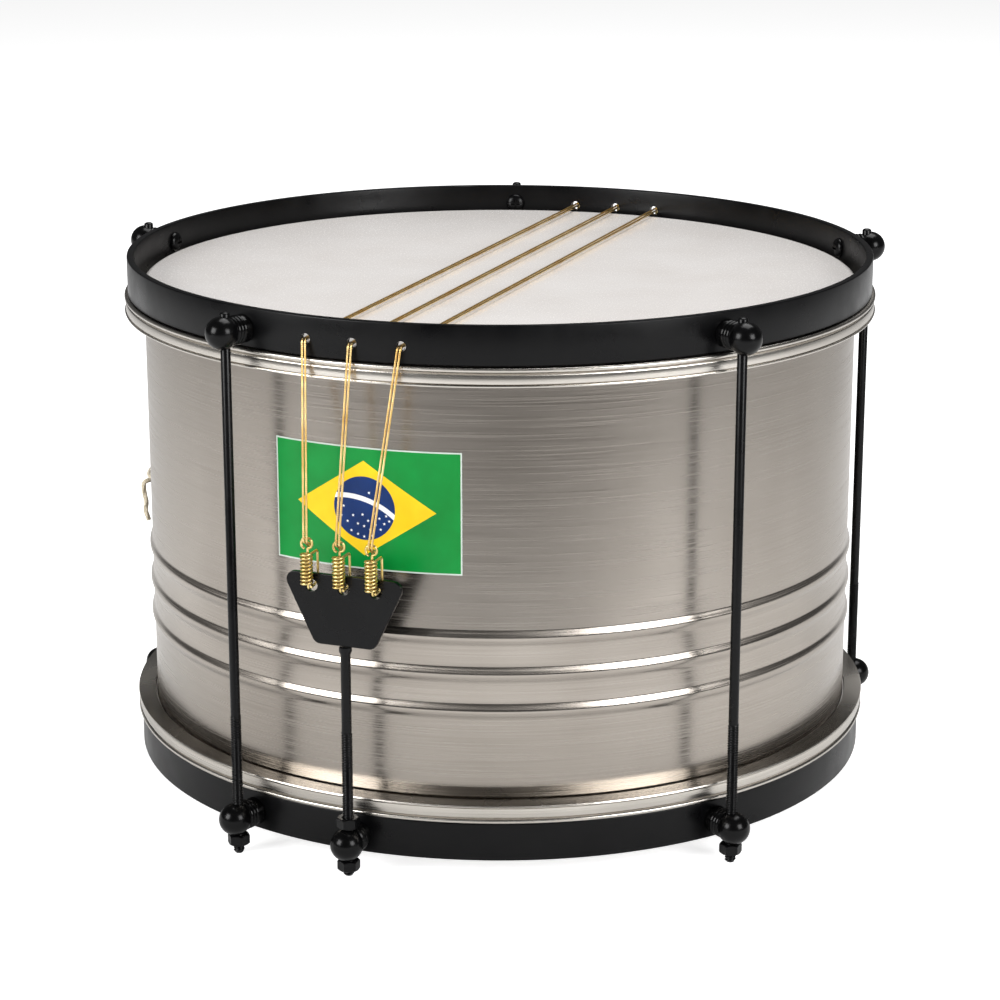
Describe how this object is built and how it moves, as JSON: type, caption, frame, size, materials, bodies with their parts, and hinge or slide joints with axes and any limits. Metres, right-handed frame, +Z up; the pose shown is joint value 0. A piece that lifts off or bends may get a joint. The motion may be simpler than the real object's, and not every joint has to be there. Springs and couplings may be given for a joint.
{
  "type": "caixa snare drum",
  "caption": "Shallow aluminium snare drum with ball lugs and tension rods, wound strings over its upper head tied to a threaded snare plate.",
  "frame": {"origin": "centre of the lower head's outer face, on the drum's axis", "axes": "+Z up along the drum's axis, towards the batter head; -Y out through the snare plate at the front"},
  "size_m": [0.3385, 0.3469, 0.2244],
  "materials": {
    "brushed_aluminium": "brushed",
    "head_film": "glossy white film",
    "black_steel": "semi-gloss black",
    "bronze_wire": "bronze wound wire",
    "printed_vinyl": "printed vinyl",
    "cotton": "twisted cotton"
  },
  "bodies": {
    "drum": {"shell": "brushed_aluminium", "batter_head": "head_film", "resonant_head": "head_film", "batter_flesh_hoop": "brushed_aluminium", "resonant_flesh_hoop": "brushed_aluminium", "batter_counter_hoop": "black_steel", "batter_lug_1": "black_steel", "batter_lug_2": "black_steel", "batter_lug_3": "black_steel", "batter_lug_4": "black_steel", "batter_lug_5": "black_steel", "batter_lug_screw_1": "black_steel", "batter_lug_screw_2": "black_steel", "batter_lug_screw_3": "black_steel", "batter_lug_screw_4": "black_steel", "batter_lug_screw_5": "black_steel", "tension_rod_1": "black_steel", "tension_rod_2": "black_steel", "tension_rod_3": "black_steel", "tension_rod_4": "black_steel", "tension_rod_5": "black_steel", "snare_string_1": "bronze_wire", "snare_string_2": "bronze_wire", "snare_string_3": "bronze_wire", "string_toggle_1": "bronze_wire", "string_toggle_2": "bronze_wire", "string_toggle_3": "bronze_wire", "flag_decal": "printed_vinyl", "tie_cord": "cotton"},
    "resonant_hoop": {"resonant_counter_hoop": "black_steel", "resonant_lug_1": "black_steel", "resonant_lug_2": "black_steel", "resonant_lug_3": "black_steel", "resonant_lug_4": "black_steel", "resonant_lug_5": "black_steel", "resonant_lug_screw_1": "black_steel", "resonant_lug_screw_2": "black_steel", "resonant_lug_screw_3": "black_steel", "resonant_lug_screw_4": "black_steel", "resonant_lug_screw_5": "black_steel", "snare_lug": "black_steel", "snare_lug_screw": "black_steel"},
    "nut_1": {"tension_nut_1": "black_steel"},
    "nut_2": {"tension_nut_2": "black_steel"},
    "nut_3": {"tension_nut_3": "black_steel"},
    "nut_4": {"tension_nut_4": "black_steel"},
    "nut_5": {"tension_nut_5": "black_steel"},
    "snare": {"snare_plate": "black_steel", "snare_rod": "black_steel", "snare_tie_1": "bronze_wire", "snare_tie_2": "bronze_wire", "snare_tie_3": "bronze_wire"},
    "snare_nut_above": {"snare_nut_upper": "black_steel"},
    "snare_nut_below": {"snare_nut_lower": "black_steel"}
  },
  "joints": [
    {"name": "hoop_slide", "type": "slide", "parent": "drum", "child": "resonant_hoop", "axis": [0, 0, 1], "range_m": [-0.0025, 0]},
    {"name": "nut_turn_1", "type": "hinge", "parent": "resonant_hoop", "child": "nut_1", "pos_m": [-0.05232, -0.16101, -0.0146], "axis": [0, 0, 1], "range_deg": [-852, 0]},
    {"name": "nut_turn_2", "type": "hinge", "parent": "resonant_hoop", "child": "nut_2", "pos_m": [0.13697, -0.09951, -0.0146], "axis": [0, 0, 1], "range_deg": [-852, 0]},
    {"name": "nut_turn_3", "type": "hinge", "parent": "resonant_hoop", "child": "nut_3", "pos_m": [0.13697, 0.09951, -0.0146], "axis": [0, 0, 1], "range_deg": [-852, 0]},
    {"name": "nut_turn_4", "type": "hinge", "parent": "resonant_hoop", "child": "nut_4", "pos_m": [-0.05232, 0.16101, -0.0146], "axis": [0, 0, 1], "range_deg": [-852, 0]},
    {"name": "nut_turn_5", "type": "hinge", "parent": "resonant_hoop", "child": "nut_5", "pos_m": [-0.1693, 0, -0.0146], "axis": [0, 0, 1], "range_deg": [-852, 0]},
    {"name": "snare_slide", "type": "slide", "parent": "drum", "child": "snare", "axis": [0, 0, 1], "range_m": [-0.001, 0.003], "deforming": ["snare_string_1", "snare_string_2", "snare_string_3"]},
    {"name": "snare_nut_turn_above", "type": "hinge", "parent": "resonant_hoop", "child": "snare_nut_above", "pos_m": [0, -0.1693, 0.0034], "axis": [0, 0, 1], "range_deg": [-1022, 342]},
    {"name": "snare_nut_turn_below", "type": "hinge", "parent": "resonant_hoop", "child": "snare_nut_below", "pos_m": [0, -0.1693, -0.0146], "axis": [0, 0, 1], "range_deg": [-1022, 342]}
  ],
  "couplings": [
    {"joint": "nut_turn_1", "follows": "hoop_slide", "rad_per_m": 5938.7},
    {"joint": "nut_turn_2", "follows": "hoop_slide", "rad_per_m": 5938.7},
    {"joint": "nut_turn_3", "follows": "hoop_slide", "rad_per_m": 5938.7},
    {"joint": "nut_turn_4", "follows": "hoop_slide", "rad_per_m": 5938.7},
    {"joint": "nut_turn_5", "follows": "hoop_slide", "rad_per_m": 5938.7},
    {"joint": "snare_nut_turn_above", "follows": "snare_slide", "rad_per_m": -5938.7},
    {"joint": "snare_nut_turn_below", "follows": "snare_slide", "rad_per_m": -5938.7}
  ]
}
